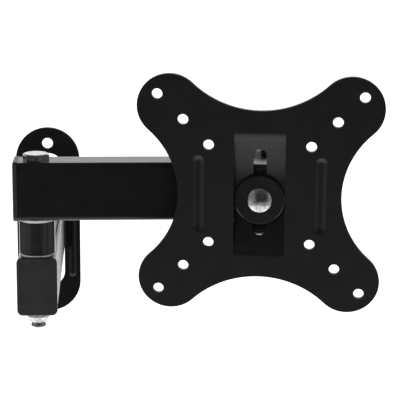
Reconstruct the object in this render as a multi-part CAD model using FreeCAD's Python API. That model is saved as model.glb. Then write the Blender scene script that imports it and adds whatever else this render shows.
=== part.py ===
"""Full motion wall mount for a small flat screen.

A stamped wall plate carries a swivelling rear arm. The front arm is stacked above the rear arm on an
elbow bolt. A bent head bracket swivels on the end of the front arm, and a pressed screen plate tilts on
the bracket's curved front.

Frame: the origin is the centre of the wall plate's back face. +Y points into the wall, +X to the right
and +Z up. Lengths are in millimetres and angles in degrees.
"""
import FreeCAD, Part
import math
import os

V = FreeCAD.Vector
ORIGIN = V(0, 0, 0)
X_AXIS = V(1, 0, 0)
Z_AXIS = V(0, 0, 1)

# Wall plate: a stamped strip with two lanced ears bent forward
WALL_W = 38.0
WALL_H = 114.0
WALL_T = 2.5
WALL_HOLE_SPACING = 95.0
WALL_HOLE_D = 6.5
WINDOW_TIP_Z = 41.5
LANCE_GAP = 0.15
EAR_W = 18.6
EAR_BEND_R = 1.5
WALL_PIVOT_AHEAD = 19.5
WALL_BEAD_X = 14.3
WALL_BEAD_HALF = 33.0
WALL_BEAD_RIDGE_R = 2.45
WALL_BEAD_HEIGHT = 1.2
WALL_BEAD_GROOVE_R = 1.5
WALL_BEAD_GROOVE_DEPTH = 1.1
WALL_BEAD_FOOT_R = 1.0

# Arms: rectangular steel tube with a plastic cap in each end
TUBE_W = 20.0
TUBE_H = 30.0
TUBE_T = 1.5
TUBE_CORNER_R = 2.5
PIVOT_SPACING = 116.0
TUBE_OVERHANG = 9.4
CAP_T = 2.2
CAP_LIP = 0.35
CAP_PLUG = 2.8
CAP_FIT = 0.1
CAP_EDGE_R = 0.7
SLEEVE_R = 6.0

# Pivots
BOLT_R = 4.0
RUNNING_FIT = 0.08
EAR_HOLE_FIT = 0.1
BOLT_HOLE_FIT = 0.2
HEX_AF = 12.0
HEX_BEVEL = 0.15
HEX_BEVEL_ANGLE = 30.0
BOLT_HEAD_H = 3.4
NUT_H = 6.2
NUT_HEX_H = 3.4
NUT_END_WALL = 0.75
NUT_BORE_FIT = 0.05
THREAD_PITCH = 1.25
THREAD_DEPTH = 0.55
THREAD_ABOVE_NUT = 2.0
BOLT_END_PROUD = 3.3
WASHER_R = 9.25
EAR_WASHER_T = 0.5
WALL_HEX_ANGLE = -100.0
ELBOW_HEX_ANGLE = -71.0
HEAD_HEX_ANGLE = -95.3
NUT_TURN = -14.0

# Elbow
ARM_RISE = 49.2
ELBOW_LOWER_WASHER_T = 0.7
ELBOW_UPPER_WASHER_T = 1.2
SPACER_R = 9.25
SPACER_EDGE = 0.4

# Head bracket: a bent strip whose front follows the tilt curve
BRACKET_T = 2.5
BRACKET_W = 25.0
BRACKET_BEND_R = 3.0
HEAD_YAW = -8.0

# Screen plate: four round lobes with a bowed strip in the middle
VESA_SPACINGS = (100.0, 75.0, 50.0)
VESA_HOLE_D = 5.2
VESA_T = 2.0
VESA_AHEAD = 39.0
LOBE_R = 16.0
LOBE_C = 44.0
WAIST_TOP = 42.4
WAIST_SIDE = 40.15
STRIP_W = 25.2
STRIP_HALF = 30.3157
STRIP_BEND_R = 6.0
STRIP_LAP = 0.6
STRIP_R = 65.2
STRIP_OVERLAP = 0.2
SLOT_W = 6.4
SLOT_L = 45.0
VESA_BEAD_X = 30.0
VESA_BEAD_HALF = 16.6
VESA_BEAD_GROOVE_R = 3.0
VESA_BEAD_RIDGE_R = 4.9
VESA_BEAD_DEPTH = 1.3
VESA_BEAD_SHOULDER_R = 1.8
REST_TILT = 4.6

# Tilt clamp: a cup-head bolt with a square neck, a disc in front and a nut behind
TILT_GAP = 0.25
TILT_BOLT_Z = 1.1
DISC_R = 12.2
DISC_T = 3.2
DISC_EDGE = 0.4
CUP_R = 6.1
CUP_RIM = 0.7
CUP_H = 2.6
CUP_SEAT_R = 6.35
CUP_SEAT_DEPTH = 0.5
NECK = 6.1
NECK_FIT = 0.15
TILT_BOLT_R = 3.0
TILT_PITCH = 1.0
TILT_WASHER_R = 6.2
TILT_WASHER_T = 1.2
TILT_NUT_AF = 10.0
TILT_NUT_H = 6.0
TILT_NUT_HEX_H = 4.2
TILT_END_PROUD = 1.2

# Derived sizes
EAR_OUT = TUBE_H / 2 + EAR_WASHER_T + WALL_T
EAR_IN = TUBE_H / 2 + EAR_WASHER_T
ELBOW_Y = -(WALL_PIVOT_AHEAD + PIVOT_SPACING)
CURVE_AHEAD = VESA_AHEAD + math.sqrt(STRIP_R ** 2 - STRIP_HALF ** 2)
BEND_Y = STRIP_BEND_R - VESA_AHEAD
BEND_Z = math.sqrt((STRIP_R + STRIP_BEND_R) ** 2 - (BEND_Y + CURVE_AHEAD) ** 2)
BRACKET_FRONT_R = STRIP_R + VESA_T + TILT_GAP
BRACKET_BACK_R = BRACKET_FRONT_R + BRACKET_T
REACH = 200.0


def box(x0, x1, y0, y1, z0, z1):
    """Return a box between two corners."""
    return Part.makeBox(x1 - x0, y1 - y0, z1 - z0, V(x0, y0, z0))


def disc(radius, z0, z1, x=0.0, y=0.0):
    """Return an upright cylinder between two heights."""
    return Part.makeCylinder(radius, z1 - z0, V(x, y, z0))


def ring(outer, inner, z0, z1):
    """Return an upright ring on the Z axis."""
    return disc(outer, z0, z1).cut(disc(inner, z0 - 1, z1 + 1))


def cross_bar(radius, half, y, z):
    """Return a cylinder along X, centred on X = 0."""
    return Part.makeCylinder(radius, 2 * half, V(-half, y, z), X_AXIS)


def revolved(profile):
    """Revolve a closed outline of (radius, height) points about the Z axis."""
    points = [V(r, 0, z) for r, z in profile]
    face = Part.Face(Part.makePolygon(points + points[:1]))
    return face.revolve(ORIGIN, Z_AXIS, 360)


def fillet_where(shape, radius, wanted):
    """Round the edges whose centre of mass passes the test."""
    return shape.makeFillet(radius, [edge for edge in shape.Edges if wanted(edge.CenterOfMass)])


def placed(shape, yaw=0.0, position=ORIGIN):
    """Return a copy turned about Z and then moved."""
    copy = shape.copy()
    copy.rotate(ORIGIN, Z_AXIS, yaw)
    copy.translate(position)
    return copy


def hexagon(across_flats, z0, z1, corner_angle):
    """Return a hexagonal prism with one corner at the given angle."""
    corner_r = across_flats / math.sqrt(3)
    corners = []
    for k in range(7):
        angle = math.radians(corner_angle + 60 * k)
        corners.append(V(corner_r * math.cos(angle), corner_r * math.sin(angle), z0))
    return Part.Face(Part.makePolygon(corners)).extrude(V(0, 0, z1 - z0))


def hex_chamfer(across_flats, z0, z1, lower, upper):
    """Return the turned blank that bevels a hexagon's corners at either end."""
    corner_r = across_flats / math.sqrt(3)
    flat_r = across_flats / 2 - HEX_BEVEL
    drop = (corner_r - flat_r) * math.tan(math.radians(HEX_BEVEL_ANGLE))
    profile = [(0, z0), (flat_r if lower else corner_r, z0)]
    if lower:
        profile.append((corner_r, z0 + drop))
    if upper:
        profile.append((corner_r, z1 - drop))
    profile += [(flat_r if upper else corner_r, z1), (0, z1)]
    return revolved(profile)


def threaded_rod(radius, z_top, z_end, thread_top, pitch):
    """Return a plain shank that ends in ring grooves and a bevelled tip."""
    depth = pitch * THREAD_DEPTH
    profile = [(0, z_top), (radius, z_top), (radius, thread_top)]
    z = thread_top
    while z - pitch > z_end + depth:
        profile += [(radius - depth, z - pitch / 2), (radius, z - pitch)]
        z -= pitch
    profile += [(radius, z_end + depth), (radius - depth, z_end), (0, z_end)]
    return revolved(profile)


def hex_bolt(length, thread_length, corner_angle):
    """Return a bolt that hangs down from its head's seat at Z = 0."""
    head = hexagon(HEX_AF, 0, BOLT_HEAD_H, corner_angle)
    head = head.common(hex_chamfer(HEX_AF, 0, BOLT_HEAD_H, lower=False, upper=True))
    shank = threaded_rod(BOLT_R, 0, -length, thread_length - length, THREAD_PITCH)
    return head.fuse(shank).removeSplitter()


def lock_nut(across_flats, height, hex_height, bolt_r, corner_angle):
    """Return a lock nut that hangs down from Z = 0, and the nylon ring in its tapered collar."""
    bore_r = bolt_r + NUT_BORE_FIT
    end_r = bore_r + NUT_END_WALL
    mouth_r = bore_r + NUT_END_WALL / 2
    groove_top = -hex_height + 0.1
    groove_end = (groove_top - height) / 2
    body = hexagon(across_flats, -hex_height, 0, corner_angle)
    body = body.common(hex_chamfer(across_flats, -hex_height, 0, lower=True, upper=True))
    collar = revolved([(0, -hex_height + 0.3), (across_flats / 2, -hex_height + 0.3),
                       (end_r + 0.1, 0.3 - height), (end_r - 0.2, -height), (0, -height)])
    body = body.fuse(collar).cut(disc(bore_r, -height - 1, 1))
    body = body.cut(disc(end_r, groove_end, groove_top))
    body = body.cut(disc(mouth_r, -height - 1, groove_top))
    return body.removeSplitter(), ring(end_r, bore_r, groove_end, groove_top)


def rounded_bar(width, height, corner_r, x0, x1):
    """Return a bar along X with rounded long edges, centred on the X axis."""
    bar = box(x0, x1, -width / 2, width / 2, -height / 2, height / 2)
    middle = (x0 + x1) / 2
    return fillet_where(bar, corner_r, lambda c: abs(c.x - middle) < 0.01)


def bead_rod(radius, half_length, x, y):
    """Return an upright rod with ball ends, the tool that a pressed bead is made with."""
    rod = disc(radius, -half_length, half_length, x, y)
    for end in (-half_length, half_length):
        rod = rod.fuse(Part.makeSphere(radius, V(x, y, end)))
    return rod


# ---------------------------------------------------------------------------------- wall bracket

def bent_ear():
    """Return the upper ear: a strip that leaves the plate, bends forward and ends round the pivot."""
    outer_r = EAR_BEND_R + WALL_T
    foot_z = EAR_OUT - outer_r
    bend_y = -outer_r
    half = EAR_W / 2
    elbow = Part.makeCylinder(outer_r, EAR_W, V(-half, bend_y, foot_z), X_AXIS)
    elbow = elbow.cut(Part.makeCylinder(EAR_BEND_R, EAR_W + 2, V(-half - 1, bend_y, foot_z), X_AXIS))
    elbow = elbow.common(box(-half, half, bend_y, 0, foot_z, EAR_OUT))
    leaf = box(-half, half, -WALL_PIVOT_AHEAD, bend_y, EAR_IN, EAR_OUT)
    tip = disc(half, EAR_IN, EAR_OUT, 0, -WALL_PIVOT_AHEAD)
    ear = elbow.fuse([leaf, tip])
    return ear.cut(disc(BOLT_R + EAR_HOLE_FIT, EAR_IN - 1, EAR_OUT + 1, 0, -WALL_PIVOT_AHEAD))


def wall_window():
    """Return the opening above the web that the upper ear was lanced from."""
    half = EAR_W / 2 + LANCE_GAP
    foot_z = EAR_OUT - EAR_BEND_R - WALL_T
    round_z = WINDOW_TIP_Z - half
    opening = box(-half, half, -WALL_T - 1, 1, foot_z, round_z)
    tip = Part.makeCylinder(half, WALL_T + 2, V(0, -WALL_T - 1, round_z), V(0, 1, 0))
    return opening.fuse(tip)


def wall_plate():
    """Return the stamped wall plate with its ears, beads and screw holes."""
    end_z = (WALL_H - WALL_W) / 2
    plate = box(-WALL_W / 2, WALL_W / 2, -WALL_T, 0, -end_z, end_z)
    for side in (-1, 1):
        round_end = Part.makeCylinder(WALL_W / 2, WALL_T, V(0, -WALL_T, side * end_z), V(0, 1, 0))
        plate = plate.fuse(round_end)
    plate = plate.removeSplitter()
    for x in (-WALL_BEAD_X, WALL_BEAD_X):
        ridge_y = WALL_BEAD_RIDGE_R - WALL_BEAD_HEIGHT - WALL_T
        ridge = bead_rod(WALL_BEAD_RIDGE_R, WALL_BEAD_HALF, x, ridge_y)
        ridge = ridge.common(box(x - WALL_W, x + WALL_W, -REACH, -WALL_T / 2, -REACH, REACH))
        groove_y = WALL_BEAD_GROOVE_R - WALL_BEAD_GROOVE_DEPTH
        plate = plate.fuse(ridge).cut(bead_rod(WALL_BEAD_GROOVE_R, WALL_BEAD_HALF, x, groove_y))
    plate = fillet_where(plate, WALL_BEAD_FOOT_R,
                         lambda c: abs(c.y + WALL_T) < 0.01
                         and abs(abs(c.x) - WALL_BEAD_X) < WALL_BEAD_RIDGE_R + 0.5
                         and abs(c.z) < WALL_BEAD_HALF + WALL_BEAD_RIDGE_R)
    window = wall_window()
    ear = bent_ear()
    flip = V(0, 0, 1)
    plate = plate.cut(window).cut(window.mirror(ORIGIN, flip))
    plate = plate.fuse([ear, ear.mirror(ORIGIN, flip)])
    for side in (-1, 1):
        centre = V(0, -WALL_T - 1, side * WALL_HOLE_SPACING / 2)
        plate = plate.cut(Part.makeCylinder(WALL_HOLE_D / 2, WALL_T + 2, centre, V(0, 1, 0)))
    return plate.removeSplitter()


# ---------------------------------------------------------------------------------- arms

def arm_tube():
    """Return an arm's tube, from the pivot at X = 0 to the pivot at X = PIVOT_SPACING."""
    x0 = -TUBE_OVERHANG
    x1 = PIVOT_SPACING + TUBE_OVERHANG
    inner_r = TUBE_CORNER_R - TUBE_T
    tube = rounded_bar(TUBE_W, TUBE_H, TUBE_CORNER_R, x0, x1)
    hollow = rounded_bar(TUBE_W - 2 * TUBE_T, TUBE_H - 2 * TUBE_T, inner_r, x0 - 1, x1 + 1)
    tube = tube.cut(hollow)
    for x in (0, PIVOT_SPACING):
        tube = tube.cut(disc(BOLT_R + BOLT_HOLE_FIT, -TUBE_H, TUBE_H, x))
    return tube


def arm_cap():
    """Return the cap for the tube's near end: a lipped flange with a plug behind it."""
    x0 = -TUBE_OVERHANG - CAP_T
    flange = rounded_bar(TUBE_W + 2 * CAP_LIP, TUBE_H + 2 * CAP_LIP, TUBE_CORNER_R + CAP_LIP,
                         x0, -TUBE_OVERHANG)
    flange = fillet_where(flange, CAP_EDGE_R, lambda c: abs(c.x - x0) < 0.3)
    inset = 2 * (TUBE_T + CAP_FIT)
    plug = rounded_bar(TUBE_W - inset, TUBE_H - inset, TUBE_CORNER_R - TUBE_T,
                       -TUBE_OVERHANG, -TUBE_OVERHANG + CAP_PLUG)
    hollow = box(-TUBE_OVERHANG, 0, -TUBE_W / 2 + 4, TUBE_W / 2 - 4, -TUBE_H / 2 + 4, TUBE_H / 2 - 4)
    return flange.fuse(plug.cut(hollow)).removeSplitter()


def arm_parts():
    """Return an arm's tube, its two caps and the sleeves that the pivot bolts run in."""
    cap = arm_cap()
    far_cap = cap.mirror(V(PIVOT_SPACING / 2, 0, 0), X_AXIS)
    reach = TUBE_H / 2 - TUBE_T
    sleeve = ring(SLEEVE_R, BOLT_R + RUNNING_FIT, -reach, reach)
    far_sleeve = placed(sleeve, 0, V(PIVOT_SPACING, 0, 0))
    return arm_tube(), cap, far_cap, sleeve, far_sleeve


# ---------------------------------------------------------------------------------- head

def head_bracket():
    """Return the bent bracket in the head's own frame: pivot on the Z axis, front towards -Y."""
    half = BRACKET_W / 2
    top = EAR_OUT
    inner = EAR_IN
    front = box(-half, half, -CURVE_AHEAD / 2, 0, -top, top).fuse(disc(half, -top, top))
    front = front.cut(cross_bar(BRACKET_FRONT_R, REACH, -CURVE_AHEAD, 0)).removeSplitter()
    front = fillet_where(front, BRACKET_BEND_R,
                         lambda c: abs(abs(c.z) - top) < 0.01 and abs(c.x) < 0.01 and c.y < -half - 1)
    hollow = box(-REACH, REACH, -CURVE_AHEAD, REACH, -inner, inner)
    hollow = hollow.cut(cross_bar(BRACKET_BACK_R, REACH + 1, -CURVE_AHEAD, 0))
    bracket = front.cut(hollow)
    bracket = bracket.cut(disc(BOLT_R + EAR_HOLE_FIT, -top - 1, top + 1))
    return bracket.cut(neck_hole(-half))


def neck_hole(y_end):
    """Return the square hole for the tilt bolt's neck, from the tilt curve's centre to y_end."""
    side = NECK / 2 + NECK_FIT
    return box(-side, side, -CURVE_AHEAD, y_end, TILT_BOLT_Z - side, TILT_BOLT_Z + side)


def along_minus_y(shape, seat_y):
    """Turn a part that rises along Z so that it rises towards -Y on the tilt bolt's axis."""
    copy = shape.copy()
    copy.rotate(ORIGIN, X_AXIS, 90)
    copy.translate(V(0, seat_y, TILT_BOLT_Z))
    return copy


def tilt_disc(cup_seat_y):
    """Return the disc in front of the bowed strip, hollowed for the cup head and curved behind."""
    face = DISC_T - CUP_SEAT_DEPTH
    blank = revolved([(0, -face - 1), (DISC_R, -face - 1), (DISC_R, CUP_SEAT_DEPTH - DISC_EDGE),
                      (DISC_R - DISC_EDGE, CUP_SEAT_DEPTH), (0, CUP_SEAT_DEPTH)])
    blank = blank.cut(disc(CUP_SEAT_R, 0, CUP_SEAT_DEPTH + 1))
    blank = along_minus_y(blank, cup_seat_y)
    blank = blank.common(cross_bar(STRIP_R - TILT_GAP, REACH, -CURVE_AHEAD, 0))
    return blank.cut(neck_hole(0))


def tilt_bolt(cup_seat_y, tip_y):
    """Return the cup-head bolt with its square neck."""
    dome = CUP_H - CUP_RIM
    sphere_r = (CUP_R ** 2 + dome ** 2) / (2 * dome)
    cup = Part.makeSphere(sphere_r, V(0, 0, CUP_H - sphere_r))
    cup = cup.common(disc(CUP_R, 0, CUP_H + 1))
    neck_end = -(TILT_GAP + DISC_T - CUP_SEAT_DEPTH + VESA_T + TILT_GAP + BRACKET_T - 0.4)
    neck = box(-NECK / 2, NECK / 2, -NECK / 2, NECK / 2, neck_end, 0)
    rod = threaded_rod(TILT_BOLT_R, 0, cup_seat_y - tip_y, neck_end, TILT_PITCH)
    return along_minus_y(cup.fuse([neck, rod]).removeSplitter(), cup_seat_y)


def tilt_clamp():
    """Return the tilt bolt, disc, rear washer, nut and nut ring in the head's own frame."""
    cup_seat_y = -CURVE_AHEAD + STRIP_R - TILT_GAP - DISC_T + CUP_SEAT_DEPTH
    washer_y = -CURVE_AHEAD + BRACKET_BACK_R + TILT_WASHER_T
    tip_y = washer_y + TILT_NUT_H + TILT_END_PROUD
    nut, nut_ring = lock_nut(TILT_NUT_AF, TILT_NUT_H, TILT_NUT_HEX_H, TILT_BOLT_R, 0)
    return {
        "tilt_bolt": tilt_bolt(cup_seat_y, tip_y),
        "tilt_disc": tilt_disc(cup_seat_y),
        "tilt_washer": along_minus_y(ring(TILT_WASHER_R, TILT_BOLT_R + 0.2, 0, TILT_WASHER_T), washer_y),
        "tilt_nut": along_minus_y(nut, washer_y),
        "tilt_nut_ring": along_minus_y(nut_ring, washer_y),
    }


# ---------------------------------------------------------------------------------- screen plate

def hollow_radius(waist):
    """Return the radius of the arc that touches two lobes and passes waist from the plate's centre."""
    dip = waist - LOBE_C
    return (LOBE_C ** 2 + dip ** 2 - LOBE_R ** 2) / (2 * (LOBE_R - dip))


def arc_about(centre, start, end, towards):
    """Return the arc from start to end about a centre, bulging in the given direction."""
    middle = V(towards)
    middle.normalize()
    return Part.Arc(start, centre + middle * (start - centre).Length, end).toShape()


def vesa_outline(front):
    """Return the sheet inside the plate's outline: four lobes joined by hollow sides."""
    top_r = hollow_radius(WAIST_TOP)
    side_r = hollow_radius(WAIST_SIDE)
    edges = []
    for sx in (-1, 1):
        for sz in (-1, 1):
            lobe = V(sx * LOBE_C, front, sz * LOBE_C)
            top = V(0, front, sz * (WAIST_TOP + top_r))
            side = V(sx * (WAIST_SIDE + side_r), front, 0)
            top_touch = lobe + (top - lobe) * (LOBE_R / (LOBE_R + top_r))
            side_touch = lobe + (side - lobe) * (LOBE_R / (LOBE_R + side_r))
            top_waist = V(0, front, sz * WAIST_TOP)
            side_waist = V(sx * WAIST_SIDE, front, 0)
            edges.append(arc_about(top, top_waist, top_touch, top_waist + top_touch - top * 2))
            edges.append(arc_about(lobe, top_touch, side_touch, V(sx, 0, sz)))
            edges.append(arc_about(side, side_touch, side_waist, side_touch + side_waist - side * 2))
    outline = Part.Wire(Part.__sortEdges__(edges))
    return Part.Face(outline).extrude(V(0, VESA_T, 0))


def strip_side(y, bow_r, bend_r):
    """Return the edges of one face of the bowed strip seen from its side, from top to bottom."""
    x = -STRIP_W / 2 - STRIP_OVERLAP
    centre = V(x, -CURVE_AHEAD, 0)
    edges = []
    for sz in (1, -1):
        bend = V(x, BEND_Y, sz * BEND_Z)
        flat = V(x, y, sz * BEND_Z)
        touch = centre + (bend - centre) * (bow_r / (STRIP_R + STRIP_BEND_R))
        edges.append(Part.makeLine(flat + V(0, 0, sz * STRIP_LAP), flat))
        edges.append(arc_about(bend, flat, touch, flat + touch - bend * 2))
        edges.append(arc_about(centre, touch, centre + V(0, bow_r, 0), touch + V(0, bow_r, 0) - centre))
    return edges


def bowed_strip():
    """Return the middle strip, bent back at both ends and bowed on the tilt curve."""
    x = -STRIP_W / 2 - STRIP_OVERLAP
    front = -VESA_AHEAD
    back = front + VESA_T
    edges = strip_side(front, STRIP_R, STRIP_BEND_R)
    edges += strip_side(back, STRIP_R + VESA_T, STRIP_BEND_R - VESA_T)
    for z in (-BEND_Z - STRIP_LAP, BEND_Z + STRIP_LAP):
        edges.append(Part.makeLine(V(x, front, z), V(x, back, z)))
    outline = Part.Wire(Part.__sortEdges__(edges))
    return Part.Face(outline).extrude(V(-2 * x, 0, 0))


def vesa_plate():
    """Return the screen plate in the head's own frame, before it is tilted."""
    front = -VESA_AHEAD
    back = front + VESA_T
    plate = vesa_outline(front)
    bead_y = front - VESA_BEAD_GROOVE_R + VESA_BEAD_DEPTH
    for x in (-VESA_BEAD_X, VESA_BEAD_X):
        ridge = bead_rod(VESA_BEAD_RIDGE_R, VESA_BEAD_HALF, x, bead_y)
        ridge = ridge.common(box(x - STRIP_W, x + STRIP_W, front + VESA_T / 2, 0, -REACH, REACH))
        plate = plate.fuse(ridge).cut(bead_rod(VESA_BEAD_GROOVE_R, VESA_BEAD_HALF, x, bead_y))
    plate = fillet_where(plate, VESA_BEAD_SHOULDER_R,
                         lambda c: abs(c.y - front) < 0.01
                         and abs(abs(c.x) - VESA_BEAD_X) < VESA_BEAD_GROOVE_R + 0.5
                         and abs(c.z) < VESA_BEAD_HALF + VESA_BEAD_GROOVE_R)
    half = STRIP_W / 2
    plate = plate.cut(box(-half, half, front - 1, back + 1, -BEND_Z, BEND_Z)).fuse(bowed_strip())
    for spacing in VESA_SPACINGS:
        for x in (-spacing / 2, spacing / 2):
            for z in (-spacing / 2, spacing / 2):
                plate = plate.cut(Part.makeCylinder(VESA_HOLE_D / 2, VESA_T + 2, V(x, front - 1, z),
                                                    V(0, 1, 0)))
    slot_z = (SLOT_L - SLOT_W) / 2
    slot = box(-SLOT_W / 2, SLOT_W / 2, front - 1, 0, -slot_z, slot_z)
    for z in (-slot_z, slot_z):
        slot = slot.fuse(Part.makeCylinder(SLOT_W / 2, VESA_AHEAD + 1, V(0, front - 1, z), V(0, 1, 0)))
    return plate.cut(slot).removeSplitter()


# ---------------------------------------------------------------------------------- assembly

def swivel_hardware(name, corner_angle):
    """Return the bolt, nut, nut ring and two washers that hold a tube between a pair of ears."""
    inner = TUBE_H / 2
    below = NUT_H + BOLT_END_PROUD
    bolt = hex_bolt(2 * EAR_OUT + below, below + THREAD_ABOVE_NUT, corner_angle)
    nut, nut_ring = lock_nut(HEX_AF, NUT_H, NUT_HEX_H, BOLT_R, corner_angle + NUT_TURN)
    return {
        name + "_pivot_bolt": placed(bolt, 0, V(0, 0, EAR_OUT)),
        name + "_pivot_nut": placed(nut, 0, V(0, 0, -EAR_OUT)),
        name + "_pivot_nut_ring": placed(nut_ring, 0, V(0, 0, -EAR_OUT)),
        name + "_upper_washer": ring(WASHER_R, BOLT_R + EAR_HOLE_FIT, inner, EAR_IN),
        name + "_lower_washer": ring(WASHER_R, BOLT_R + EAR_HOLE_FIT, -EAR_IN, -inner),
    }


def elbow_hardware():
    """Return the elbow's bolt, nut, spacer and washers, with the rear arm's middle at Z = 0."""
    top = ARM_RISE + TUBE_H / 2
    low = TUBE_H / 2
    high = ARM_RISE - TUBE_H / 2
    spacer_z0 = low + ELBOW_LOWER_WASHER_T
    spacer_z1 = high - ELBOW_UPPER_WASHER_T
    bore = BOLT_R + RUNNING_FIT
    spacer = revolved([(bore, spacer_z0), (SPACER_R - SPACER_EDGE, spacer_z0),
                       (SPACER_R, spacer_z0 + SPACER_EDGE), (SPACER_R, spacer_z1 - SPACER_EDGE),
                       (SPACER_R - SPACER_EDGE, spacer_z1), (bore, spacer_z1)])
    below = NUT_H + BOLT_END_PROUD
    bolt = hex_bolt(top + low + below, below + THREAD_ABOVE_NUT, ELBOW_HEX_ANGLE)
    nut, nut_ring = lock_nut(HEX_AF, NUT_H, NUT_HEX_H, BOLT_R, ELBOW_HEX_ANGLE + NUT_TURN)
    return {
        "elbow_bolt": placed(bolt, 0, V(0, 0, top)),
        "elbow_nut": placed(nut, 0, V(0, 0, -low)),
        "elbow_nut_ring": placed(nut_ring, 0, V(0, 0, -low)),
        "elbow_spacer": spacer,
        "elbow_lower_washer": ring(WASHER_R, bore, low, spacer_z0),
        "elbow_upper_washer": ring(WASHER_R, bore, spacer_z1, high),
    }


def build():
    """Return every node's shape in the row frame."""
    nodes = {"wall_plate": wall_plate()}
    wall_pivot = V(0, -WALL_PIVOT_AHEAD, 0)
    elbow = V(0, ELBOW_Y, 0)
    head_pivot = V(PIVOT_SPACING, ELBOW_Y, ARM_RISE)
    for name, shape in swivel_hardware("wall", WALL_HEX_ANGLE).items():
        nodes[name] = placed(shape, 0, wall_pivot)

    arm_names = ("rear_arm_tube", "rear_arm_wall_cap", "rear_arm_elbow_cap", "rear_arm_wall_sleeve",
                 "rear_arm_elbow_sleeve")
    for name, shape in zip(arm_names, arm_parts()):
        nodes[name] = placed(shape, -90, wall_pivot)
    for name, shape in elbow_hardware().items():
        nodes[name] = placed(shape, 0, elbow)
    arm_names = ("front_arm_tube", "front_arm_elbow_cap", "front_arm_head_cap", "front_arm_elbow_sleeve",
                 "front_arm_head_sleeve")
    for name, shape in zip(arm_names, arm_parts()):
        nodes[name] = placed(shape, 0, elbow + V(0, 0, ARM_RISE))

    head = {"head_bracket": head_bracket()}
    head.update(swivel_hardware("head", HEAD_HEX_ANGLE))
    head.update(tilt_clamp())
    head["vesa_plate"] = vesa_plate()
    head["vesa_plate"].rotate(V(0, -CURVE_AHEAD, 0), X_AXIS, REST_TILT)
    for name, shape in head.items():
        nodes[name] = placed(shape, HEAD_YAW, head_pivot)
    return nodes


os.makedirs("parts", exist_ok=True)
for node_name, node_shape in build().items():
    node_shape.exportStep("parts/" + node_name + ".step")
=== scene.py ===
"""Full-motion television wall mount: finishes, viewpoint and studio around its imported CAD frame.

The mount is a stamped wall plate, a rear and a front arm of square-cornered steel tube, a
folded head bracket on a vertical pivot, and a screen plate that tilts on a friction disc.
Each sub-assembly is a class that gathers its CAD nodes and dresses them; each finish is
named for the real material and the process that made its surface.
"""

import logging
import math
from dataclasses import dataclass, field
from enum import Enum
from typing import ClassVar

import bpy
from mathutils import Matrix, Vector


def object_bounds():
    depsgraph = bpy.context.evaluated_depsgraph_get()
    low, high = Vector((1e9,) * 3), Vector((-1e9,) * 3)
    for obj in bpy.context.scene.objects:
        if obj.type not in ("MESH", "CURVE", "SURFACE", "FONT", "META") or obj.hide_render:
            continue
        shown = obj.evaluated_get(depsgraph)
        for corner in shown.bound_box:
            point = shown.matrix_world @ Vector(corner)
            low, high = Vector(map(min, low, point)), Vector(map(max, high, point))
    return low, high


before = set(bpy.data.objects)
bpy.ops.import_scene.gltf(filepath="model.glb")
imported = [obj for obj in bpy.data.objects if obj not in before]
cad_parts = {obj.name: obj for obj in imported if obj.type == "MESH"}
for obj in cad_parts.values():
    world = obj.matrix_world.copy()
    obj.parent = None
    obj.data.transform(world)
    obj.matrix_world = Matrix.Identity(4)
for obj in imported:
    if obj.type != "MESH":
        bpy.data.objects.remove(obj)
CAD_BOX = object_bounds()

LOG = logging.getLogger("wall_mount")
MM = 0.001  # metres in a millimetre
SENSOR_WIDTH = 36.0  # millimetres across the camera's sensor
WHITE = "#ffffff"
SHADE_BAND = (0.35, 0.65)  # part of a noise's range that turns the dark shade into the light one
GLOSS_BAND = (0.3, 0.7)  # part of it that goes from the lowest roughness to the highest
PATCH_DETAIL, BROAD_DETAIL, FINE_DETAIL = 3.0, 1.0, 2.0  # octaves of the three noises
EDGE_SAMPLES = 4  # rays that the edge rounding looks along


def srgb(code: str) -> tuple[float, float, float, float]:
    """Turn an sRGB hex colour into the linear values that a shader socket takes.

    Args:
        code: Colour as "#rrggbb".

    Returns:
        Red, green and blue in linear light, and an alpha of one.
    """
    channels = [int(code[place : place + 2], 16) / 255.0 for place in (1, 3, 5)]
    linear = [c / 12.92 if c <= 0.04045 else ((c + 0.055) / 1.055) ** 2.4 for c in channels]
    return (*linear, 1.0)


def add_node(
    tree: bpy.types.NodeTree,
    kind: str,
    settings: dict[str, object] | None = None,
    inputs: dict[str | int, object] | None = None,
) -> bpy.types.Node:
    """Add a shader node, set its options and fill or link its sockets.

    Args:
        tree: Node tree that gets the node.
        kind: Blender's type name of the node, without its ShaderNode prefix.
        settings: Names and values of the node's own options.
        inputs: Socket names or places, each with a value or the output that feeds it.

    Returns:
        The new node.
    """
    node = tree.nodes.new("ShaderNode" + kind)
    for option, value in (settings or {}).items():
        setattr(node, option, value)
    for socket, value in (inputs or {}).items():
        if isinstance(value, bpy.types.NodeSocket):
            tree.links.new(value, node.inputs[socket])
        else:
            node.inputs[socket].default_value = value
    return node


class Body(Enum):
    """The rigid bodies that the joints of the mount move."""

    WALL_BRACKET = "wall_bracket"
    REAR_ARM = "rear_arm"
    FRONT_ARM = "front_arm"
    HEAD = "head"
    SCREEN_PLATE = "screen_plate"


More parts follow.
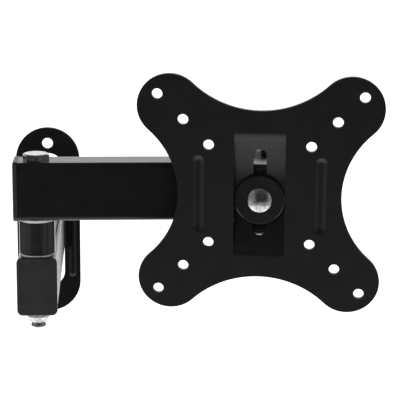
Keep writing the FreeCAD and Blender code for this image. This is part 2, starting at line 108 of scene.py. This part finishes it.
@dataclass(frozen=True)
class Finish:
    """A surface finish: two shades, a gloss range and two layers of relief.

    Attributes:
        name: Name of the material, after what it is and how it was made.
        dark: Deeper shade of the surface.
        light: Paler shade of the surface.
        gloss: Lowest and highest roughness across the surface.
        mottle: Size in millimetres of the patches of shade and gloss.
        relief: Size in millimetres of the broad relief.
        relief_height: Height in millimetres of the broad relief.
        grit: Size in millimetres of the fine relief.
        grit_height: Height in millimetres of the fine relief.
        metallic: Whether the surface is bare metal.
        edge_radius: Radius in millimetres that the finish rounds the edges to.
        stretch: How far each axis of the patterns is drawn out.
        mirror_level: Strength of the mirror-like reflection; a half is plain plastic.
    """

    name: str
    dark: str
    light: str
    gloss: tuple[float, float]
    mottle: float
    relief: float
    relief_height: float
    grit: float
    grit_height: float
    metallic: bool = False
    edge_radius: float = 0.3
    stretch: tuple[float, float, float] = (1.0, 1.0, 1.0)
    mirror_level: float = 0.5

    def build(self) -> bpy.types.Material:
        """Make the node material of this finish.

        Returns:
            The material, ready for a slot.
        """
        material = bpy.data.materials.new(self.name)
        material.use_nodes = True
        tree = material.node_tree
        tree.nodes.clear()
        coordinates = add_node(tree, "TexCoord").outputs["Object"]
        stretch = tuple(1.0 / (MM * s) for s in self.stretch)
        millimetres = add_node(
            tree,
            "Mapping",
            {"vector_type": "POINT"},
            {"Vector": coordinates, "Scale": stretch},
        ).outputs["Vector"]
        patches, broad, fine = (
            add_node(
                tree,
                "TexNoise",
                {},
                {"Vector": millimetres, "Scale": 1.0 / size, "Detail": detail},
            ).outputs["Fac"]
            for size, detail in (
                (self.mottle, PATCH_DETAIL),
                (self.relief, BROAD_DETAIL),
                (self.grit, FINE_DETAIL),
            )
        )
        shade = add_node(tree, "ValToRGB", {}, {"Fac": patches})
        ramp = shade.color_ramp
        for stop, place, colour in zip(ramp.elements, SHADE_BAND, (self.dark, self.light)):
            stop.position, stop.color = place, srgb(colour)
        roughness = add_node(
            tree,
            "MapRange",
            {},
            {
                "Value": patches,
                "From Min": GLOSS_BAND[0],
                "From Max": GLOSS_BAND[1],
                "To Min": self.gloss[0],
                "To Max": self.gloss[1],
            },
        ).outputs["Result"]
        normal = add_node(
            tree, "Bevel", {"samples": EDGE_SAMPLES}, {"Radius": self.edge_radius * MM}
        ).outputs["Normal"]
        for height, depth in ((broad, self.relief_height), (fine, self.grit_height)):
            normal = add_node(
                tree,
                "Bump",
                {},
                {"Height": height, "Strength": 1.0, "Distance": depth * MM, "Normal": normal},
            ).outputs["Normal"]
        shader = add_node(
            tree,
            "BsdfPrincipled",
            {},
            {
                "Base Color": shade.outputs["Color"],
                "Metallic": float(self.metallic),
                "Roughness": roughness,
                "Normal": normal,
                "Specular IOR Level": self.mirror_level,
            },
        )
        add_node(tree, "OutputMaterial", {}, {"Surface": shader.outputs["BSDF"]})
        return material


class Finishes(Enum):
    """Every finish on the mount."""

    # Satin black polyester powder, sprayed on the steel dry and baked: it melts into a skin
    # with a soft orange peel, a little pinhead grit, and edges that the powder rounds.
    POWDER_COAT = Finish(
        "satin_black_powder_coat",
        dark="#181818",
        light="#1b1b1b",
        gloss=(0.2, 0.25),
        mottle=9.0,
        relief=1.6,
        relief_height=0.022,
        grit=0.6,  # real grit is near 0.1 mm, drawn coarser so that it shows
        grit_height=0.008,
        edge_radius=0.35,
        mirror_level=0.33,
    )
    # Polypropylene moulded in a spark-eroded tool: a fine even matt without direction.
    CAP_PLASTIC = Finish(
        "moulded_polypropylene",
        dark="#2a2a2a",
        light="#303030",
        gloss=(0.36, 0.44),
        mottle=6.0,
        relief=2.5,
        relief_height=0.01,
        grit=0.5,  # the eroded texture is near 0.05 mm, drawn coarser so that it shows
        grit_height=0.01,
        edge_radius=0.4,
    )
    # Nylon tube turned to length: smooth, with faint rings left by the tool.
    SPACER_PLASTIC = Finish(
        "turned_black_nylon",
        dark="#222222",
        light="#272727",
        gloss=(0.12, 0.17),
        mottle=5.0,
        relief=2.0,
        relief_height=0.003,
        grit=0.4,
        grit_height=0.001,
        edge_radius=0.3,
        stretch=(12.0, 12.0, 1.0),
    )
    # Acetal moulded in a polished tool: slick and even, close to gloss.
    DISC_PLASTIC = Finish(
        "moulded_black_acetal",
        dark="#1a1a1a",
        light="#1e1e1e",
        gloss=(0.22, 0.3),
        mottle=7.0,
        relief=3.0,
        relief_height=0.008,
        grit=0.5,
        grit_height=0.002,
        edge_radius=0.4,
    )
    # Cold-headed steel with bright zinc plate: a cool silver with soft dull patches.
    ZINC_STEEL = Finish(
        "bright_zinc_plated_steel",
        dark="#a0a3a6",
        light="#d4d6d8",
        gloss=(0.09, 0.18),
        mottle=1.6,
        relief=1.3,
        relief_height=0.025,
        grit=0.4,
        grit_height=0.006,
        metallic=True,
        edge_radius=0.25,
    )
    # Natural nylon punched from sheet: milky white, dull on the faces.
    WASHER_NYLON = Finish(
        "punched_white_nylon",
        dark="#dededc",
        light="#e9e9e7",
        gloss=(0.35, 0.45),
        mottle=3.0,
        relief=2.0,
        relief_height=0.006,
        grit=0.4,
        grit_height=0.003,
        edge_radius=0.15,
    )
    # The locking ring in a nut: natural nylon, rolled into the collar.
    INSERT_NYLON = Finish(
        "rolled_nylon_insert",
        dark="#c9c7bd",
        light="#dddbd3",
        gloss=(0.35, 0.45),
        mottle=2.0,
        relief=1.5,
        relief_height=0.006,
        grit=0.3,
        grit_height=0.003,
        edge_radius=0.15,
    )


@dataclass
class SubAssembly:
    """A group of CAD nodes that one body carries.

    Attributes:
        shelf: Material of each finish.
    """

    shelf: dict[Finishes, bpy.types.Material]
    body: ClassVar[Body]

    def finishes(self) -> dict[str, Finishes]:
        """Give the finish of each CAD node, by its name."""
        raise NotImplementedError("each sub-assembly lists its own nodes")

    def build(self) -> list[bpy.types.Object]:
        """Gather the group's CAD nodes, whose shapes stay as they are."""
        return [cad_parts[name] for name in self.finishes()]

    def dress(self) -> None:
        """Give every node of the group its material."""
        for node, finish in zip(self.build(), self.finishes().values()):
            node.data.materials.clear()
            node.data.materials.append(self.shelf[finish])
            for face in node.data.polygons:
                face.material_index = 0
            LOG.info("%s on %s: %s", node.name, self.body.value, finish.value.name)


@dataclass
class SwivelPivot:
    """The bolt, nut, nut ring and washers that hold a tube between a pair of ears.

    Attributes:
        place: Which pivot of the mount it is, as the start of its nodes' names.
        steel: Finish of the bolt and the nut.
        insert: Finish of the locking ring in the nut.
        washer: Finish of the washers above and below the tube.
    """

    place: str
    steel: Finishes = Finishes.ZINC_STEEL
    insert: Finishes = Finishes.INSERT_NYLON
    washer: Finishes = Finishes.WASHER_NYLON

    def finishes(self) -> dict[str, Finishes]:
        """Give the finish of each node of the pivot, by its name.

        Returns:
            The finishes, by node.
        """
        return {
            f"{self.place}_pivot_bolt": self.steel,
            f"{self.place}_pivot_nut": self.steel,
            f"{self.place}_pivot_nut_ring": self.insert,
            f"{self.place}_upper_washer": self.washer,
            f"{self.place}_lower_washer": self.washer,
        }


@dataclass
class WallBracket(SubAssembly):
    """The stamped wall plate and the pivot between its ears.

    Attributes:
        plate: Finish of the stamped plate.
        pivot: Hardware of the wall pivot.
    """

    body: ClassVar[Body] = Body.WALL_BRACKET
    plate: Finishes = Finishes.POWDER_COAT
    pivot: SwivelPivot = field(default_factory=lambda: SwivelPivot("wall"))

    def finishes(self) -> dict[str, Finishes]:
        """Give the finish of each CAD node, by its name."""
        return {"wall_plate": self.plate, **self.pivot.finishes()}


@dataclass
class Arm(SubAssembly):
    """A steel tube with a moulded cap in each end and a sleeve at each pivot.

    Attributes:
        tube: Finish of the tube.
        cap: Finish of the end caps.
        sleeve: Finish of the sleeves that the bolts run in.
    """

    ends: ClassVar[tuple[str, str]]
    tube: Finishes = Finishes.POWDER_COAT
    cap: Finishes = Finishes.CAP_PLASTIC
    sleeve: Finishes = Finishes.ZINC_STEEL

    def finishes(self) -> dict[str, Finishes]:
        """Give the finish of each CAD node, by its name.

        Returns:
            The finishes, by node.
        """
        name = self.body.value
        looks = {f"{name}_tube": self.tube}
        for end in self.ends:
            looks[f"{name}_{end}_cap"] = self.cap
            looks[f"{name}_{end}_sleeve"] = self.sleeve
        return looks


@dataclass
class RearArm(Arm):
    """The lower arm, with the bolt, nut, spacer and washers of the elbow.

    Attributes:
        steel: Finish of the elbow's bolt and nut.
        insert: Finish of the locking ring in the nut.
        spacer: Finish of the spacer between the two arms.
        washer: Finish of the washers above and below the spacer.
    """

    body: ClassVar[Body] = Body.REAR_ARM
    ends: ClassVar[tuple[str, str]] = ("wall", "elbow")
    steel: Finishes = Finishes.ZINC_STEEL
    insert: Finishes = Finishes.INSERT_NYLON
    spacer: Finishes = Finishes.SPACER_PLASTIC
    washer: Finishes = Finishes.WASHER_NYLON

    def finishes(self) -> dict[str, Finishes]:
        """Give the finish of each CAD node, by its name.

        Returns:
            The finishes, by node.
        """
        return {
            **super().finishes(),
            "elbow_bolt": self.steel,
            "elbow_nut": self.steel,
            "elbow_nut_ring": self.insert,
            "elbow_spacer": self.spacer,
            "elbow_lower_washer": self.washer,
            "elbow_upper_washer": self.washer,
        }


@dataclass
class FrontArm(Arm):
    """The upper arm, which swings on the elbow bolt."""

    body: ClassVar[Body] = Body.FRONT_ARM
    ends: ClassVar[tuple[str, str]] = ("elbow", "head")


@dataclass
class TiltHead(SubAssembly):
    """The folded bracket on the head pivot, and the clamp that the screen plate tilts in.

    Attributes:
        bracket: Finish of the folded bracket.
        disc: Finish of the friction disc.
        steel: Finish of the clamp's bolt, washer and nut.
        insert: Finish of the locking ring in the nut.
        pivot: Hardware of the head pivot.
    """

    body: ClassVar[Body] = Body.HEAD
    bracket: Finishes = Finishes.POWDER_COAT
    disc: Finishes = Finishes.DISC_PLASTIC
    steel: Finishes = Finishes.ZINC_STEEL
    insert: Finishes = Finishes.INSERT_NYLON
    pivot: SwivelPivot = field(default_factory=lambda: SwivelPivot("head"))

    def finishes(self) -> dict[str, Finishes]:
        """Give the finish of each CAD node, by its name.

        Returns:
            The finishes, by node.
        """
        return {
            "head_bracket": self.bracket,
            **self.pivot.finishes(),
            "tilt_bolt": self.steel,
            "tilt_disc": self.disc,
            "tilt_washer": self.steel,
            "tilt_nut": self.steel,
            "tilt_nut_ring": self.insert,
        }


@dataclass
class ScreenPlate(SubAssembly):
    """The pressed plate that the screen is screwed to.

    Attributes:
        plate: Finish of the plate.
    """

    body: ClassVar[Body] = Body.SCREEN_PLATE
    plate: Finishes = Finishes.POWDER_COAT

    def finishes(self) -> dict[str, Finishes]:
        """Give the finish of each CAD node, by its name."""
        return {"vesa_plate": self.plate}


@dataclass
class Viewpoint:
    """The camera: where it aims, how far off it stands and how it is turned.

    Attributes:
        aim: Point on the optical axis, from the centre of the CAD box, in millimetres.
        distance: From that point to the camera, in millimetres.
        azimuth: Turn about the vertical, in degrees; zero looks along +Y.
        elevation: Height above the horizon, in degrees.
        roll: Turn about the optical axis, in degrees.
        lens: Focal length, in millimetres.
        clip: Nearest and farthest that the camera sees, in metres.
    """

    aim: tuple[float, float, float] = (3.85, -110.55, 30.0)
    distance: float = 690.0
    azimuth: float = -3.470
    elevation: float = 12.923
    roll: float = 0.487
    lens: float = 132.6
    clip: tuple[float, float] = (0.01, 50.0)

    def build(self) -> bpy.types.Object:
        """Place the camera and make it the scene's own.

        Returns:
            The camera object.
        """
        turn, rise, roll = (math.radians(a) for a in (self.azimuth, self.elevation, self.roll))
        ahead = Vector(
            (-math.sin(turn) * math.cos(rise), math.cos(turn) * math.cos(rise), -math.sin(rise))
        )
        level = ahead.cross(Vector((0.0, 0.0, 1.0))).normalized()
        upright = level.cross(ahead)
        right = level * math.cos(roll) + upright * math.sin(roll)
        above = upright * math.cos(roll) - level * math.sin(roll)
        centre = (CAD_BOX[0] + CAD_BOX[1]) / 2.0
        place = centre + Vector(self.aim) * MM - ahead * self.distance * MM
        data = bpy.data.cameras.new("viewpoint")
        data.lens, data.sensor_width = self.lens, SENSOR_WIDTH
        data.clip_start, data.clip_end = self.clip
        camera = bpy.data.objects.new("viewpoint", data)
        turned = Matrix((right, above, -ahead)).transposed().to_4x4()
        camera.matrix_world = Matrix.Translation(place) @ turned
        bpy.context.scene.collection.objects.link(camera)
        bpy.context.scene.camera = camera
        return camera


@dataclass
class Studio:
    """A plain pale floor and soft light from behind, below, above and the sides.

    The room is white to look at. What the mount reflects is a room with lit and dark parts, each
    with an edge: a pair of cosines between which the light comes up.

    Attributes:
        floor_drop: Depth of the floor under the wall plate's centre, in metres.
        floor_front: Place of the floor's front edge along Y, in metres.
        floor_back: Place of its back edge along Y, in metres.
        floor_half: Half of its width, in metres.
        floor_colour: Colour of the floor.
        floor_roughness: Roughness of the floor.
        floor_glow: Light that the floor gives off.
        table_edge: Edge of the bright table below, along Z.
        apron: Radiance of the table's dim near part.
        apron_edge: Edge of that part, along Z.
        behind: Radiance of the lit backdrop.
        behind_edge: Edge of the backdrop, along Y.
        ahead: Radiance of the room's dark surroundings.
        ceiling: What the ceiling adds to that.
        ceiling_edge: Edge of the ceiling, along Z.
        side: What the large soft lights at either side add.
        side_light: Direction of those lights; the other one mirrors it.
        side_edge: Edge of those lights, along that direction.
        sight: Radiance of the room as the camera sees it.
        fill_from: Place of the fill light, from the centre of the CAD box, in metres.
        fill_size: Diameter of the fill light, in metres.
        fill_power: Power of the fill light, in watts.
    """

    floor_drop: float = 0.6
    floor_front: float = -0.45
    floor_back: float = 6.0
    floor_half: float = 1.2
    floor_colour: str = "#f4f4f2"
    floor_roughness: float = 0.9
    floor_glow: float = 1.2
    table_edge: tuple[float, float] = (-0.5, -0.76)
    apron: float = 0.25
    apron_edge: tuple[float, float] = (-0.2, -0.45)
    behind: float = 1.1
    behind_edge: tuple[float, float] = (0.74, 0.88)
    ahead: float = 0.04
    ceiling: float = 0.07
    ceiling_edge: tuple[float, float] = (0.1, 0.9)
    side: float = 0.3
    side_light: tuple[float, float, float] = (0.97, -0.243, 0.0)
    side_edge: tuple[float, float] = (0.6, 0.9)
    sight: float = 1.1
    fill_from: tuple[float, float, float] = (-0.5, -1.6, 1.1)
    fill_size: float = 1.0
    fill_power: float = 14.0

    def build(self) -> None:
        """Make the floor, the room's light and the picture's plain tone response."""
        self.build_floor()
        self.build_room()
        self.build_fill()
        scene = bpy.context.scene
        scene.view_settings.view_transform = "Standard"

    def build_floor(self) -> None:
        """Make the pale floor, which glows a little, as a light table does."""
        mesh = bpy.data.meshes.new("floor")
        corners = [
            (x, y, -self.floor_drop)
            for x, y in (
                (-self.floor_half, self.floor_front),
                (self.floor_half, self.floor_front),
                (self.floor_half, self.floor_back),
                (-self.floor_half, self.floor_back),
            )
        ]
        mesh.from_pydata(corners, [], [(0, 1, 2, 3)])
        floor = bpy.data.objects.new("floor", mesh)
        bpy.context.scene.collection.objects.link(floor)
        material = bpy.data.materials.new("matt_white_light_table")
        material.use_nodes = True
        tree = material.node_tree
        tree.nodes.clear()
        shader = add_node(
            tree,
            "BsdfPrincipled",
            {},
            {
                "Base Color": srgb(self.floor_colour),
                "Roughness": self.floor_roughness,
                "Emission Color": srgb(WHITE),
                "Emission Strength": self.floor_glow,
            },
        )
        add_node(tree, "OutputMaterial", {}, {"Surface": shader.outputs["BSDF"]})
        mesh.materials.append(material)

    def build_room(self) -> None:
        """Make the room's light: bright behind and below, dark ahead, and white to look at."""
        world = bpy.data.worlds.new("room")
        bpy.context.scene.world = world
        world.use_nodes = True
        tree = world.node_tree
        tree.nodes.clear()
        direction = add_node(tree, "TexCoord").outputs["Generated"]
        axes = add_node(tree, "SeparateXYZ", {}, {"Vector": direction}).outputs
        aside = add_node(tree, "Math", {"operation": "ABSOLUTE"}, {0: axes["X"]}).outputs[0]
        across = add_node(
            tree, "CombineXYZ", {}, {"X": aside, "Y": axes["Y"], "Z": axes["Z"]}
        ).outputs["Vector"]
        towards = add_node(
            tree,
            "VectorMath",
            {"operation": "DOT_PRODUCT"},
            {0: across, 1: self.side_light},
        ).outputs["Value"]
        total: bpy.types.NodeSocket | float = self.ahead
        for value, (start, end), reach in (
            (axes["Y"], self.behind_edge, self.behind),
            (axes["Z"], self.ceiling_edge, self.ceiling),
            (axes["Z"], self.apron_edge, self.apron),
            (axes["Z"], self.table_edge, self.floor_glow - self.apron),
            (towards, self.side_edge, self.side),
        ):
            patch = add_node(
                tree,
                "MapRange",
                {"interpolation_type": "SMOOTHSTEP"},
                {"Value": value, "From Min": start, "From Max": end, "To Max": reach},
            ).outputs["Result"]
            total = add_node(tree, "Math", {"operation": "ADD"}, {0: patch, 1: total}).outputs[0]
        light = add_node(tree, "Background", {}, {"Color": srgb(WHITE), "Strength": total})
        sight = add_node(tree, "Background", {}, {"Color": srgb(WHITE), "Strength": self.sight})
        seen = add_node(tree, "LightPath").outputs["Is Camera Ray"]
        mixed = add_node(
            tree,
            "MixShader",
            {},
            {0: seen, 1: light.outputs["Background"], 2: sight.outputs["Background"]},
        )
        add_node(tree, "OutputWorld", {}, {"Surface": mixed.outputs["Shader"]})

    def build_fill(self) -> None:
        """Hang a wide soft light ahead and above, which lifts the shadows and leaves no glare."""
        centre = (CAD_BOX[0] + CAD_BOX[1]) / 2.0
        data = bpy.data.lights.new("fill", "AREA")
        data.shape, data.size, data.energy = "DISK", self.fill_size, self.fill_power
        fill = bpy.data.objects.new("fill", data)
        fill.location = centre + Vector(self.fill_from)
        fill.rotation_mode = "QUATERNION"
        fill.rotation_quaternion = Vector(self.fill_from).to_track_quat("Z", "Y")
        fill.visible_glossy = fill.visible_camera = False
        bpy.context.scene.collection.objects.link(fill)


def main() -> None:
    """Set the viewpoint and the studio, then dress the mount part by part."""
    logging.basicConfig(level=logging.INFO, format="%(name)s: %(message)s")
    Viewpoint().build()
    Studio().build()
    shelf = {finish: finish.value.build() for finish in Finishes}
    for group in (WallBracket, RearArm, FrontArm, TiltHead, ScreenPlate):
        group(shelf).dress()


if __name__ == "__main__":
    main()
